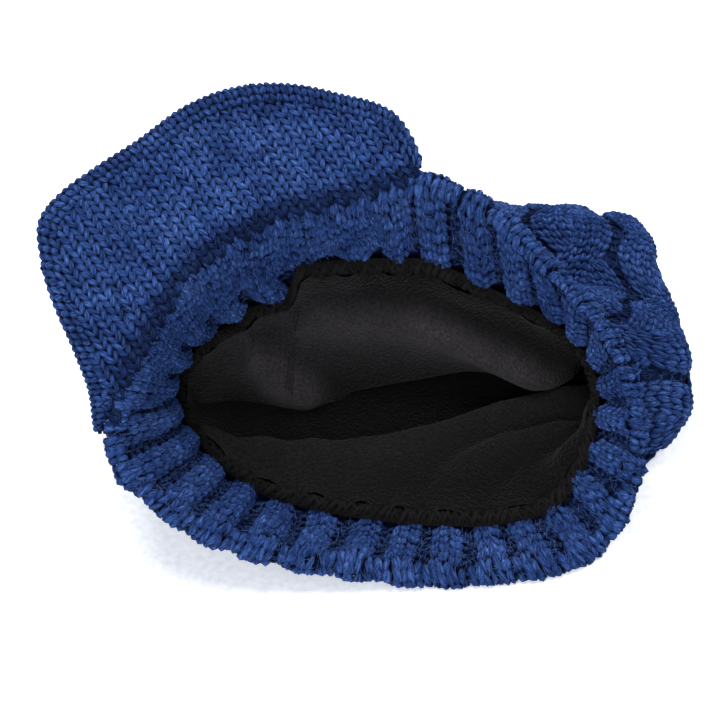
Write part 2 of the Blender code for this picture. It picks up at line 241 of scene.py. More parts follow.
# Rows of the roof's slack as it shows: around, along, how far it hangs, spreads around and along
FLEECE_FOLDS = (
    (160, 0.320, 0.024, 20, 0.12),
    (125, 0.350, 0.023, 20, 0.11),
    (95, 0.340, 0.019, 20, 0.10),
    (62, 0.330, 0.016, 18, 0.10),
)
# Folds that run along a line: how wide they are towards the rim and towards the tip, the direction in
# which they stand out of the lining, and rows of around, along and how far they stand out
STAND = (0.0, 0.5, 0.87)
SWELL = (0.0, -0.95, -0.30)
FOLD_LINES = (
    (0.014, 0.0040, SWELL, (
        (114, 0.17, 0.006), (88, 0.18, 0.010), (72, 0.21, 0.014), (60, 0.26, 0.014), (52, 0.32, 0.008),
    )),
    (0.012, 0.0025, SWELL, (
        (136, 0.19, 0.005), (124, 0.24, 0.012), (113, 0.285, 0.011), (106, 0.33, 0.004),
    )),
    (0.013, 0.0035, STAND, (
        (205, 0.19, 0.005), (228, 0.20, 0.009), (245, 0.205, 0.010), (262, 0.215, 0.010),
        (277, 0.24, 0.011), (290, 0.285, 0.013), (303, 0.32, 0.012), (322, 0.34, 0.007),
    )),
    (0.009, 0.0060, STAND, (
        (286, 0.16, 0.003), (298, 0.20, 0.010), (312, 0.22, 0.011), (326, 0.24, 0.005),
    )),
    (0.0012, 0.0012, HANG, ((308, 0.13, 0.001), (311, 0.18, 0.0012), (316, 0.24, 0.001))),
)
METRES_PER_DEGREE = 0.0015  # around the lining
PAINTED_LIGHT_TOWARDS = 120.0  # direction around in which the fleece's painted light is lightest
HIGHLIGHT_ON_FOLDS = 62.0  # how much painted highlight a metre of fold adds
HIGHLIGHT_ON_FLOOR_FOLDS = 30.0
HIGHLIGHTED_FOLD_LINES = 4  # of FOLD_LINES, those that are wide enough to carry a painted highlight
SHADED_TURN = 78.0  # direction around in which the edge lies in the peak's shade
PUCKERS = 19  # small waves around the sewn edge
PUCKER_HEIGHT = 0.0011
PUCKER_REACH = 0.014
SLACK_START = 0.012  # from the sewn edge to where the slack is full
SPECULAR = 0.03  # of cloth and yarn

ARC = np.radians((-105.0, -52.5, 0.0, 52.5, 105.0))  # points across a leg's round


def eased(t, step, from_value, from_slope, to_value, to_slope):
    """Smooth curve from one value and slope to the next, t going from 0 to 1 over the step."""
    return (
        (2 * t**3 - 3 * t**2 + 1) * from_value
        + (t**3 - 2 * t**2 + t) * step * from_slope
        + (3 * t**2 - 2 * t**3) * to_value
        + (t**3 - t**2) * step * to_slope
    )


def through(places, values, at):
    """Smooth curve through the rows (places, values), read at the given places."""
    places, values = np.asarray(places, float), np.asarray(values, float)
    slopes = np.gradient(values, places, axis=0)
    at = np.clip(np.asarray(at, float), places[0], places[-1])
    row = np.clip(np.searchsorted(places, at, side="right") - 1, 0, len(places) - 2)
    step = places[row + 1] - places[row]
    t = (at - places[row]) / step
    if values.ndim > 1:
        step, t = step[:, None], t[:, None]
    return eased(t, step, values[row], slopes[row], values[row + 1], slopes[row + 1])


def round_trip(table, around):
    """Smooth closed curve through a table's rows (around, value), read at the given directions."""
    rows = np.array(table, float)
    turns = [rows + (turn * 360.0, 0.0) for turn in (-1, 0, 1)]
    rows = np.vstack(turns)
    return through(rows[:, 0], rows[:, 1], np.mod(around, 360.0))


def mouth_axes():
    """Unit vectors of the mouth's plane: to its right, up in it, and out of the mouth."""
    up = np.array((0.0, math.sin(MOUTH_LEAN), math.cos(MOUTH_LEAN)))
    inward = np.array((0.0, math.cos(MOUTH_LEAN), -math.sin(MOUTH_LEAN)))
    right = math.cos(MOUTH_TURN) * np.array((1.0, 0.0, 0.0)) + math.sin(MOUTH_TURN) * inward
    return right, up, np.cross(right, up)


def mouth_point(around, reach, out=0.0):
    """Points seen from the middle of the mouth in the directions around, out of its plane by out."""
    right, up, outward = mouth_axes()
    angle = np.radians(around)
    flat = np.cos(angle)[:, None] * right + np.sin(angle)[:, None] * up
    return np.array(MOUTH_MIDDLE) + np.asarray(reach)[:, None] * flat + np.multiply.outer(out, outward)


def mouth_reach(around):
    return MOUTH_REACH * round_trip(MOUTH_OUTLINE, around)


def mouth_ring(around, depth):
    """The mouth's rim at a depth inside its outer edge."""
    angle = np.radians(around)
    inset = depth * np.hypot(np.cos(angle), np.sin(angle) / math.cos(MOUTH_LEAN))
    return mouth_point(around, mouth_reach(around) - inset)


def section_ring(row, around, depth):
    """A section of the wall at a depth inside its outer side: an oval that stands on the floor."""
    _, middle, left, right, floor, roof, skew, height, power = row
    angle = np.radians(around)
    side = np.sign(np.cos(angle)) * np.abs(np.cos(angle)) ** power
    rise = np.sign(np.sin(angle)) * np.abs(np.sin(angle)) ** power
    reach = np.maximum(np.where(side > 0, right, left) * BODY_WIDTH - depth, THINNEST)
    tall = BODY_HEIGHT * height
    kept = np.maximum(tall - 2 * depth, THINNEST) / tall
    x = BODY_WIDTH * middle + reach * side
    y = BODY_LENGTH * (floor + (roof - floor) * (0.5 + 0.5 * rise * kept) + skew * side)
    z = tall * kept * (0.5 + np.where(rise > 0, 0.5, FLOOR_PRESS) * rise) + np.minimum(depth, tall / 2)
    return np.stack((x, y, z), axis=1)


def plain_wall(around, along, depth):
    """Points of the wall through the mouth's rim and the sections, without dents."""
    rings = [mouth_ring(around, depth)]
    rings += [section_ring(row, around, depth) for row in SECTIONS]
    places = np.array([0.0] + [row[0] for row in SECTIONS]) * WALL_LENGTH
    rings = np.stack(rings)
    slopes = np.gradient(rings, places, axis=0)
    at = np.clip(along, 0.0, WALL_LENGTH)
    row = np.clip(np.searchsorted(places, at, side="right") - 1, 0, len(places) - 2)
    each = np.arange(len(at))
    step = (places[row + 1] - places[row])[:, None]
    t = (at - places[row])[:, None] / step
    return eased(t, step, rings[row, each], slopes[row, each], rings[row + 1, each], slopes[row + 1, each])


def outward(around, along):
    """Unit vectors from the wall's middle line to its outer side."""
    flush = np.zeros(len(along))
    corners = [plain_wall(np.full(len(along), turn), along, flush) for turn in range(0, 360, 45)]
    away = plain_wall(around, along, flush) - np.mean(corners, axis=0)
    return away / np.linalg.norm(away, axis=1)[:, None]


def bumps(table, around, along):
    """Sum of a table's rows (around, along, height, spread around, spread along) at each place."""
    total = np.zeros(len(around))
    for middle, length, height, spread_around, spread_along in table:
        off = (np.mod(around - middle + 180.0, 360.0) - 180.0) / spread_around
        far = (along / WALL_LENGTH - length) / spread_along
        total += height * np.exp(-(off**2) - far**2)
    return total


def on_floor(points, depth):
    """Points pressed down to the floor, or to their depth above it, with an eased bend where they meet it."""
    z = points[:, 2] - depth
    bend = (z + FLOOR_EASE) ** 2 / (4 * FLOOR_EASE)
    points[:, 2] = depth + np.where(z > FLOOR_EASE, z, np.where(z > -FLOOR_EASE, bend, 0.0))
    return points


def wall(around, along, depth, relief=0.0):
    """Points of the cap's wall at a depth inside its outer side, raised by the relief off the floor."""
    around, along, depth, relief = np.broadcast_arrays(
        *(np.asarray(value, float) for value in (around, along, depth, relief))
    )
    points = plain_wall(around, along, depth - relief)
    points += bumps(DENTS, around, along)[:, None] * outward(around, along)
    return on_floor(points, depth)


FINE_TURNS = np.linspace(0.0, 360.0, TURN_STEPS + 1)


def directions(along):
    """Shares of the way around the wall at which the fine steps of direction lie."""
    points = wall(FINE_TURNS, along, 0.0)
    lengths = np.concatenate(([0.0], np.cumsum(np.linalg.norm(np.diff(points, axis=0), axis=1))))
    return lengths / lengths[-1]


RIM_SHARES = directions(0.0)
CROWN_SHARES = directions(EVEN_FROM_RIM)


def turn_of(share, along):
    """Direction in degrees of a share of the way around, counted on past a full round."""
    whole = np.floor(share)
    part = share - whole
    ease = np.clip(along / EVEN_FROM_RIM, 0.0, 1.0)
    ease = ease * ease * (3 - 2 * ease)
    at_rim = np.interp(part, RIM_SHARES, FINE_TURNS)
    at_crown = np.interp(part, CROWN_SHARES, FINE_TURNS)
    return at_rim + (at_crown - at_rim) * ease + 360.0 * whole


def flat(*values):
    """The values as flat arrays of one size."""
    return [value.ravel() for value in np.broadcast_arrays(*values)]


class Cloth:
    """A surface read anywhere between its grid's points, by share around it and metres along it."""

    def __init__(self, place, start, end, rows, columns, closed=True, face=1.0):
        self.start, self.step, self.closed, self.face = start, (end - start) / (rows - 1), closed, face
        self.rows, self.columns = rows, columns
        shares = np.arange(columns) / (columns if closed else columns - 1)
        reach = np.linspace(start, end, rows)
        share, row = np.meshgrid(shares, reach)
        self.points = place(share.ravel(), row.ravel()).reshape(rows, columns, 3)
        if closed:
            across = np.roll(self.points, -1, 1) - np.roll(self.points, 1, 1)
        else:
            across = np.gradient(self.points, axis=1)
        normals = face * np.cross(across, np.gradient(self.points, axis=0))
        self.normals = normals / (np.linalg.norm(normals, axis=2)[:, :, None] + 1e-12)
        ring = np.linalg.norm(np.diff(self.points, axis=1), axis=2).sum(1)
        if closed:
            ring = ring + np.linalg.norm(self.points[:, 0] - self.points[:, -1], axis=1)
        self.rounds = ring

    def metres(self, row):
        """Length of the whole way around at the given rows."""
        at = np.clip((row - self.start) / self.step, 0, self.rows - 1)
        return np.interp(at, np.arange(self.rows), self.rounds)

    def place(self, share, row, height):
        share, row, height = flat(share, row, height)
        y = np.clip((row - self.start) / self.step, 0, self.rows - 1.0001)
        if self.closed:
            x = np.mod(share, 1.0) * self.columns
        else:
            x = np.clip(share, 0, 1) * (self.columns - 1.0001)
        i, j = y.astype(int), x.astype(int) % self.columns
        fy, fx = (y - i)[:, None], (x - np.floor(x))[:, None]
        k = (j + 1) % self.columns

        def mix(grid):
            near = grid[i, j] * (1 - fx) + grid[i, k] * fx
            far = grid[i + 1, j] * (1 - fx) + grid[i + 1, k] * fx
            return near * (1 - fy) + far * fy

        normal = mix(self.normals)
        normal /= np.linalg.norm(normal, axis=1)[:, None] + 1e-12
        return mix(self.points) + height[:, None] * normal


def mesh_object(title, points, quads, material, tints=None, uvs=None):
    mesh = bpy.data.meshes.new(title)
    mesh.vertices.add(len(points))
    mesh.vertices.foreach_set("co", np.asarray(points, np.float32).ravel())
    quads = np.asarray(quads, np.int32)
    mesh.loops.add(quads.size)
    mesh.loops.foreach_set("vertex_index", quads.ravel())
    mesh.polygons.add(len(quads))
    mesh.polygons.foreach_set("loop_start", np.arange(0, quads.size, quads.shape[1], dtype=np.int32))
    if tints is not None:
        # The first attribute is each leg's random tone, or the fleece's painted light; the second is painted
        # shade and highlight on the yarn's relief
        for name, values in zip(("tint", "painted_relief_light"), np.asarray(tints, np.float32).T):
            attribute = mesh.attributes.new(name, "FLOAT", "POINT")
            attribute.data.foreach_set("value", np.ascontiguousarray(values))
    if uvs is not None:
        layer = mesh.uv_layers.new(name="UVMap")
        layer.data.foreach_set("uv", np.asarray(uvs, np.float32)[quads.ravel()].ravel())
    mesh.update(calc_edges=True)
    mesh.validate()
    mesh.shade_smooth()
    mesh.materials.append(material)
    thing = bpy.data.objects.new(title, mesh)
    bpy.context.scene.collection.objects.link(thing)
    return thing


def yarn(cloth, share, row, wide, tall, path, side, radius, rng, settle=None, lit=1.0):
    """Legs of yarn on a cloth, one at each place: its points, faces, tints and lengthwise coordinates."""
    path = np.array(path, float)
    count, stations, arcs = len(share), len(path), len(ARC)
    round_there = cloth.metres(row)
    wide = np.broadcast_to(wide, (count,)) * round_there
    tall, radius = np.broadcast_to(tall, (count,)), np.broadcast_to(radius, (count,))
    x = (side[:, None] * path[None, :, 0]) * wide[:, None]
    y = path[None, :, 1] * tall[:, None]
    dx, dy = np.gradient(x, axis=1), np.gradient(y, axis=1)
    size = np.hypot(dx, dy)
    nx, ny = -dy / size, dx / size
    girth = radius[:, None] * path[None, :, 3]
    lift = radius[:, None] * path[None, :, 2]
    sine, cosine = np.sin(ARC), np.cos(ARC)
    over = x[:, :, None] + girth[:, :, None] * sine * nx[:, :, None]
    up = y[:, :, None] + girth[:, :, None] * sine * ny[:, :, None]
    high = lift[:, :, None] + girth[:, :, None] * cosine
    shares = share[:, None, None] + over / round_there[:, None, None]
    rows = row[:, None, None] + up
    if settle is not None:
        shares, high = settle(shares, rows, high)
    points = cloth.place(shares, rows, high)
    points[:, 2] = np.maximum(points[:, 2], ON_FLOOR)
    block = np.arange(count)[:, None, None] * stations * arcs
    k = np.arange(stations - 1)[None, :, None] * arcs
    a = np.arange(arcs - 1)[None, None, :]
    base = block + k + a
    order = (base, base + arcs, base + arcs + 1, base + 1)
    if cloth.face < 0:
        order = order[::-1]
    quads = np.stack(order, axis=-1).reshape(-1, 4)
    # Painted shade and highlight: darker where the round of the yarn lies low between its neighbours, lighter
    # on its top, times lit
    painted_relief_light = np.clip((path[:, 2, None] + path[:, 3, None] * cosine + 0.5) / 1.9, 0.0, 1.0)
    painted_relief_light = np.broadcast_to(painted_relief_light, (count, stations, arcs)) * np.broadcast_to(lit, (count,))[:, None, None]
    tints = np.stack((np.repeat(rng.random(count), stations * arcs), painted_relief_light.ravel()), axis=1)
    run = np.linspace(0.0, 1.0, stations)[None, :, None] + rng.random(count)[:, None, None] * 8.0
    across = np.broadcast_to(np.linspace(0.0, 1.0, arcs) * side[:, None, None], (count, stations, arcs))
    uvs = np.stack((across, np.broadcast_to(run, across.shape)), axis=-1).reshape(-1, 2)
    return points, quads, tints, uvs


def grid(shares, rows):
    """All pairs of a share around and a row, as two flat arrays."""
    share, row = np.meshgrid(shares, rows)
    return share.ravel(), row.ravel()


def stitches(cloth, share, row, wide, tall, path, girth, uneven, rng, settle=None, lit=1.0):
    """Both legs of a stitch at each place, with yarn of an uneven radius."""
    parts = []
    for side in (-1.0, 1.0):
        radius = girth * rng.normal(1.0, uneven, len(row))
        sides = np.full(len(row), side)
        parts.append(yarn(cloth, share, row, wide, tall, path, sides, radius, rng, settle, lit))
    return parts


def joined(parts):
    points, quads, tints, uvs, offset = [], [], [], [], 0
    for p, q, t, u in parts:
        points.append(p)
        quads.append(q + offset)
        tints.append(t)
        uvs.append(u)
        offset += len(p)
    return np.vstack(points), np.vstack(quads), np.vstack(tints), np.vstack(uvs)


def bed(cloth, row_from, row_to, rows, columns, depth, tip=False):
    """Points and faces of the sheet that backs the stitches, closed at its last row if tip is true."""
    share, row = grid(np.arange(columns) / columns, np.linspace(row_from, row_to, rows))
    points = cloth.place(share, row, -depth)
    if tip:
        last = points[-columns:]
        centre = last.mean(axis=0)
        points = np.vstack([points] + [centre + (last - centre) * left for left in TIP_RINGS])
        rows += len(TIP_RINGS)
    points[:, 2] = np.maximum(points[:, 2], ON_FLOOR)
    i = np.arange(rows - 1)[:, None] * columns
    j = np.arange(columns)[None, :]
    k = (j + 1) % columns
    order = (i + j, i + k, i + columns + k, i + columns + j)
    if cloth.face < 0:
        order = order[::-1]
    return points, np.stack(np.broadcast_arrays(*order), axis=-1).reshape(-1, 4)


def waver(share, row, size):
    """Slow drift of hand-pulled rows and columns, the same all the way round."""
    turn = 2 * math.pi * share
    return size * (
        np.sin(7 * turn + 90 * row)
        + 0.7 * np.sin(13 * turn - 160 * row + 1)
        + 0.5 * np.sin(29 * turn + 210 * row)
    )


def fibres(cloth, share, row, height, length, spread, rng):
    """Fine stray fibres of the yarn: narrow ribbons of two faces that leave the surface as they run."""
    count = len(share)
    metres = cloth.metres(row)
    angle = math.pi / 2 + rng.normal(0, spread, count) + math.pi * rng.integers(0, 2, count)
    curl = rng.normal(0, 0.5, count)
    reach = length * rng.uniform(0.5, 1.3, count)
    rise = FIBRE_RISE * rng.uniform(0.1, 1.0, count) ** 2
    points = []
    for step, wide in ((0.0, 1.0), (0.5, 1.0), (1.0, 0.35)):
        heading = angle + curl * step
        x, y = reach * step * np.cos(heading), reach * step * np.sin(heading)
        for edge in (-0.5, 0.5):
            side = edge * wide * FIBRE_WIDTH
            points.append(
                cloth.place(
                    share + (x - side * np.sin(heading)) / metres,
                    row + y + side * np.cos(heading),
                    height + rise * step**1.5,
                )
            )
    points = np.stack(points, axis=1).reshape(-1, 3)
    points[:, 2] = np.maximum(points[:, 2], ON_FLOOR)
    base = np.arange(count) * 6
    quads = [np.stack((base + k, base + k + 1, base + k + 3, base + k + 2), 1) for k in (0, 2)]
    tints = np.stack((np.repeat(rng.random(count), 6), np.ones(6 * count)), axis=1)
    uvs = np.zeros((len(points), 2))
    return points, np.concatenate(quads), tints, uvs


def scattered(rng, count, row_from, row_to):
    return rng.random(count), rng.uniform(row_from, row_to, count)


# Band: one cloth from its outer seam, round the rim, to inside the cap
RIM_RADIUS = KNIT_THICKNESS / 2
OUTER_RUN = BAND_WIDTH - RIM_RADIUS
RIM_RUN = math.pi * RIM_RADIUS
BAND_RUN = 2 * OUTER_RUN + RIM_RUN


def band_place(share, run):
    """Points of the band's cloth, by the length run from its outer seam round the rim to its inside."""
    turn = np.clip((run - OUTER_RUN) / RIM_RUN, 0.0, 1.0) * math.pi
    inside = np.maximum(run - OUTER_RUN - RIM_RUN, 0.0)
    outside = np.maximum(OUTER_RUN - run, 0.0)
    along = RIM_RADIUS * (1 - np.sin(turn)) + inside + outside
    depth = RIM_RADIUS * (1 - np.cos(turn))
    shown = np.clip((BAND_WIDTH - along) / RELIEF_START, 0.0, 1.0) * np.clip(along / RELIEF_START, 0.35, 1.0)
    rib = np.cos(2 * math.pi * RIBS * share)
    turned = np.mod(turn_of(share, along), 360.0)
    at_peak = np.clip(np.minimum(turned - PEAK_FROM, PEAK_TO - turned) / PEAK_FADE, 0.0, 1.0)
    shown = shown * (1 - at_peak * (1 - np.clip((along - FLAT_AT_PEAK) / FLAT_AT_PEAK, 0.15, 1.0)))
    slack = 1 - RIB_SLACK * np.sin(2 * math.pi * SLACK_WAVES * share)
    relief = shown * RIB_SHOWN * np.sign(rib) * np.abs(rib) ** RIB_POWER * slack
    return wall(turn_of(share, along), along, depth, relief * np.cos(turn))


def sewn_edge(around):
    """Distance of the lining's edge from the rim, with the steps of its sewn-down pleats."""
    table = np.array(EDGE_STEPS, float)
    return BAND_WIDTH * np.interp(np.mod(around, 360.0), table[:, 0], table[:, 1], period=360.0)


def uncovered(share, run):
    """Whether a place on the band's cloth lies clear of the lining."""
    along = np.maximum(run - OUTER_RUN - RIM_RUN, 0.0) + RIM_RADIUS
    return along + ROW_HEIGHT < sewn_edge(turn_of(share, along)) + EDGE_TUCK


def under_peak(share, inset=0.0):
    """Whether the peak grows out of the rim there."""
    turn = np.mod(turn_of(share, 0.0), 360.0)
    return (turn > PEAK_FROM + inset) & (turn < PEAK_TO - inset)


def plain_there(share, run):
    """Whether the knit is plain, without gutters, as it is next to the peak."""
    along = np.maximum(run - OUTER_RUN - RIM_RUN, 0.0)
    return under_peak(share, PLAIN_INSET) & (along < PLAIN_AT_PEAK)


def peak_reach(around):
    """Where the peak starts in front of the rim, and its depth there."""
    table = np.array(PEAK_OUTLINE, float)
    start = mouth_reach(around) + RIM_SHARE * RIB_HEIGHT + FIT
    return start, PEAK_DEPTH * through(table[:, 0], table[:, 1], around)


def peak_lean(around, share, depth):
    """How far the peak lies behind the mouth's plane, at a share of its depth."""
    along = np.clip((around - PEAK_FROM) / (PEAK_TO - PEAK_FROM), 0, 1)
    return PEAK_LEAN * share * depth / PEAK_DEPTH + PEAK_ARCH * share * np.sin(math.pi * along)


def band_stitches(cloth, rng, row_from, row_to):
    """Ribs of raised columns of stitches, with bars of yarn sunk between them."""
    parts = []
    rib = np.arange(RIBS)
    column = 1.0 / RIBS / (RIB_COLUMNS + GUTTER)
    rows = np.arange(row_from, row_to, ROW_HEIGHT)
    middle = OUTER_RUN + RIM_RUN / 2
    gutter_middle = (RIB_COLUMNS + GUTTER) / 2
    for place in range(RIB_COLUMNS + 2):
        if place < RIB_COLUMNS:
            offset = (place - (RIB_COLUMNS - 1) / 2) * column * 1.06
        else:
            offset = (gutter_middle + (place - RIB_COLUMNS - 0.5) * GUTTER / 2) * column
        share, row = grid(rib / RIBS + offset, rows)
        row = row + 0.5 * ROW_HEIGHT * (place % 2)
        clear = (np.abs(row - middle + ROW_HEIGHT / 2) > CAST_OFF) | under_peak(share)
        clear &= uncovered(share, row)
        if place >= RIB_COLUMNS:
            clear &= plain_there(share, row)
        share, row = share[clear], row[clear]
        share = share + waver(share, row, DRIFT_AROUND) + rng.normal(0, STRAY, len(share))
        row = row + waver(share + 0.3, row, DRIFT_ALONG) + rng.normal(0, STRAY, len(row))
        # Painted shade: every column but the rib's middle one is a little darker
        lit = 1.0 if place == 1 else 0.95
        parts += stitches(cloth, share, row, column, ROW_HEIGHT, LEG, YARN, UNEVEN, rng, lit=lit)
    for half in (0.0, 0.5):
        share, row = grid(rib / RIBS + 0.5 / RIBS, rows + half * ROW_HEIGHT)
        clear = uncovered(share, row) & ~plain_there(share, row)
        share, row = share[clear], row[clear]
        share = share + (half - 0.25) * column * 1.4 + rng.normal(0, BAR_STRAY, len(share))
        width = GUTTER * 0.62 * column
        radius = YARN * 0.72 * rng.normal(1.0, 0.1, len(share))
        sides = np.ones(len(share))
        # Painted shade on the bars sunk between the ribs
        parts.append(yarn(cloth, share, row, width, ROW_HEIGHT, BAR, sides, radius, rng, lit=0.72))
    return joined(parts)


def rim_loops(cloth, rng):
    """Rows of fat stitches that lie over the rim, left out where the peak grows out of it."""
    middle = OUTER_RUN + RIM_RUN / 2
    share = (np.arange(EDGE_LOOPS) + 0.5) / EDGE_LOOPS + rng.normal(0, EDGE_STRAY, EDGE_LOOPS)
    share = share[~under_peak(share, LOOPS_INSET)]
    count = len(share)
    parts = []
    for start in EDGE_ROWS:
        row = middle + start * CAST_OFF + rng.normal(0, DRIFT_ALONG, count)
        tall = EDGE_REACH * CAST_OFF
        parts += stitches(cloth, share, row, 1 / EDGE_LOOPS, tall, LEG, 1.15 * YARN, 0.14, rng)
    return joined(parts)


def crown_place(share, along):
    return wall(turn_of(share, along), along, 0.0)


def strand_shape(phase, offset):
    """How a cable's two strands swing aside and how high they lie, by the phase of their twist."""
    swing = np.cos(phase)
    over = np.sin(phase)
    dome = np.sqrt(np.maximum(1.0 - offset**2, 0.0))
    return swing, STRAND_HEIGHT * (0.34 + 0.38 * dome * (1.0 + 0.6 * over))


def crown_stitches(cloth, rng, start, end):
    """Cables of two strands that twist around each other, with sunken bars of yarn between them."""
    parts = []
    unit = 1.0 / CROWN_CABLES
    column = unit / (2 * STRAND_COLUMNS + CABLE_GAP)
    rows = np.arange(start, end, CROWN_ROW)
    for cable in range(CROWN_CABLES):
        middle = (cable + 0.5) * unit
        slip = cable % 2 * 0.5 * math.pi
        for strand in (-1.0, 1.0):
            for place in range(STRAND_COLUMNS):
                offset = (place - (STRAND_COLUMNS - 1) / 2) / (STRAND_COLUMNS / 2)

                def settle(share, row, high, strand=strand, middle=middle, slip=slip):
                    phase = math.pi * row / TWIST_LENGTH + slip
                    if strand < 0:
                        phase = phase + math.pi
                    inside = (share - middle) / (STRAND_COLUMNS / 2 * column)
                    swing, raised = strand_shape(phase, np.clip(inside, -1, 1))
                    shift = swing * STRAND_COLUMNS / 2 * column
                    return share + shift, high + raised

                share = np.full(len(rows), middle + offset * STRAND_SPREAD * STRAND_COLUMNS / 2 * column)
                row = rows + rng.normal(0, CROWN_STRAY, len(rows)) + 0.3 * CROWN_ROW * (place % 2)
                share = share + rng.normal(0, CROWN_STRAY, len(rows))
                width = cloth.metres(row) * column
                keep = width > LEAST_COLUMN
                share, row, width = share[keep], row[keep], width[keep]
                girth = YARN * np.clip(width / FULL_COLUMN, 0.45, 1.15)
                wide = STRAND_SPREAD * column
                parts += stitches(cloth, share, row, wide, CROWN_ROW, LEG, girth, 0.07, rng, settle)
    share, row = grid(np.arange(CROWN_CABLES) * unit, rows)
    radius = YARN * 0.8 * np.clip(cloth.metres(row) * column / FULL_COLUMN, 0.45, 1.0)
    sides = np.ones(len(row))
    # Painted shade on the bars sunk between the cables
    parts.append(yarn(cloth, share, row, 2.4 * column, CROWN_ROW, BAR, sides, radius, rng, lit=0.6))
    return joined(parts)


class PeakCloth:
    """The peak's cover, read like a Cloth: metres across its columns and metres up its rows."""

    def __init__(self, upper):
        self.upper = upper
        self.face = -1.0 if upper else 1.0

    def metres(self, row):
        return np.ones(len(row))

    def plane(self, across, up):
        right = across * math.cos(PEAK_TURN) - up * math.sin(PEAK_TURN)
        rise = across * math.sin(PEAK_TURN) + up * math.cos(PEAK_TURN)
        around = np.degrees(np.arctan2(rise, right)) % 360.0
        return around, np.hypot(right, rise), *peak_reach(around)

    def place(self, across, up, height):
        across, up, height = flat(across, up, height)
        around, reach, start, depth = self.plane(across, up)
        share = np.clip((reach - start) / np.maximum(depth, LEAST_DEPTH), -0.3, 1.0)
        half = PEAK_THICKNESS / 2
        swell = half * np.sqrt(1.0 - np.clip(share, 0, 1) ** PEAK_EDGE)
        out = (-swell - height if self.upper else swell + height) - half
        return mouth_point(around, reach, out - peak_lean(around, share, depth))


def peak_stitches(cloth, rng):
    """Columns square to the peak's front edge, wide and low stitches."""
    across, up = grid(np.arange(*PEAK_ACROSS, PEAK_COLUMN), np.arange(*PEAK_UP, PEAK_ROW))
    across = across + 0.35 * waver(up * 3, across, 0.0004) + rng.normal(0, PEAK_STRAY, len(across))
    up = up + waver(across * 3, up, 0.00025) + rng.normal(0, PEAK_ROW_STRAY, len(up))
    around, reach, start, depth = cloth.plane(across, up + PEAK_ROW / 2)
    keep = (around > PEAK_FROM + PEAK_TRIM) & (around < PEAK_TO - PEAK_TRIM)
    keep &= reach - start > -PEAK_SINK
    keep &= reach - start < depth - PEAK_HEM
    across, up = across[keep], up[keep]
    # Painted shade: the stitches grow darker towards the fold at the rim
    lit = np.clip((reach - start)[keep] / PEAK_CREASE_SHADE + 0.58, 0.5, 1.0)
    open_there = np.clip(1.0 - (start + depth - reach)[keep] / PEAK_OPEN, 0.0, 1.0)
    open_there *= np.clip(np.abs(around[keep] - PEAK_FRONT) / 18.0 - 0.4, 0.0, 1.0)
    girth = PEAK_YARN * (1.0 - 0.30 * open_there)
    return joined(
        stitches(cloth, across, up, PEAK_COLUMN, PEAK_ROW, PEAK_LEG, girth, UNEVEN, rng, lit=lit)
    )


def peak_edge_place(share, run):
    """Points around the peak's outer edge: run from its under side over the edge to its upper side."""
    around = PEAK_FROM + 0.5 + (PEAK_TO - PEAK_FROM - 1.0) * share
    start, depth = peak_reach(around)
    half = PEAK_THICKNESS / 2
    turn = np.clip(run / (math.pi * half), 0.0, 1.0) * math.pi
    beyond = np.maximum(run - math.pi * half, 0.0) + np.maximum(-run, 0.0)
    reach = start + np.maximum(depth - half + half * np.sin(turn) - beyond, 0.0)
    lean = peak_lean(around, (reach - start) / depth, depth)
    return mouth_point(around, reach, half * np.cos(turn) - half - lean)


# Materials
def nodes_of(name):
    material = bpy.data.materials.new(name)
    material.use_nodes = True
    tree = material.node_tree
    return material, tree, tree.nodes["Principled BSDF"]


def add(tree, kind, **values):
    node = tree.nodes.new(kind)
    for key, value in values.items():
        setattr(node, key, value)
    return node


def noise(tree, vector, scale, detail=2.0, rough=0.5):
    node = add(tree, "ShaderNodeTexNoise")
    node.inputs["Scale"].default_value = scale
    node.inputs["Detail"].default_value = detail
    node.inputs["Roughness"].default_value = rough
    tree.links.new(vector, node.inputs["Vector"])
    return node


def ramp(tree, value, stops):
    node = add(tree, "ShaderNodeValToRGB")
    while len(node.color_ramp.elements) < len(stops):
        node.color_ramp.elements.new(0.5)
    for element, (at, colour) in zip(node.color_ramp.elements, stops):
        element.position = at
        element.color = (*colour, 1.0)
    tree.links.new(value, node.inputs["Fac"])
    return node


def tinted(tree, colour, value, stops):
    """The colour multiplied by a ramp of the value."""
    node = add(tree, "ShaderNodeMix", data_type="RGBA", blend_type="MULTIPLY")
    factor, first, second = (node.inputs[k] for k in (0, 6, 7))
    factor.default_value = 1.0
    tree.links.new(colour, first)
    tree.links.new(ramp(tree, value, stops).outputs["Color"], second)
    return node.outputs[2]


def bumped(tree, height, strength, distance):
    node = add(tree, "ShaderNodeBump")
    node.inputs["Strength"].default_value = strength
    node.inputs["Distance"].default_value = distance
    tree.links.new(height, node.inputs["Height"])
    return node


def finished(tree, shader, colour, roughness, bumps=(), **sheen):
    """Links the colour and the bumps, coarse before fine, and sets the shader's gloss and sheen."""
    tree.links.new(colour, shader.inputs["Base Color"])
    shader.inputs["Roughness"].default_value = roughness
    shader.inputs["Specular IOR Level"].default_value = SPECULAR
    for name, value in sheen.items():
        shader.inputs["Sheen " + name].default_value = value
    normal = None
    for node in bumps:
        if normal is not None:
            tree.links.new(normal, node.inputs["Normal"])
        normal = node.outputs["Normal"]
    if normal is not None:
        tree.links.new(normal, shader.inputs["Normal"])


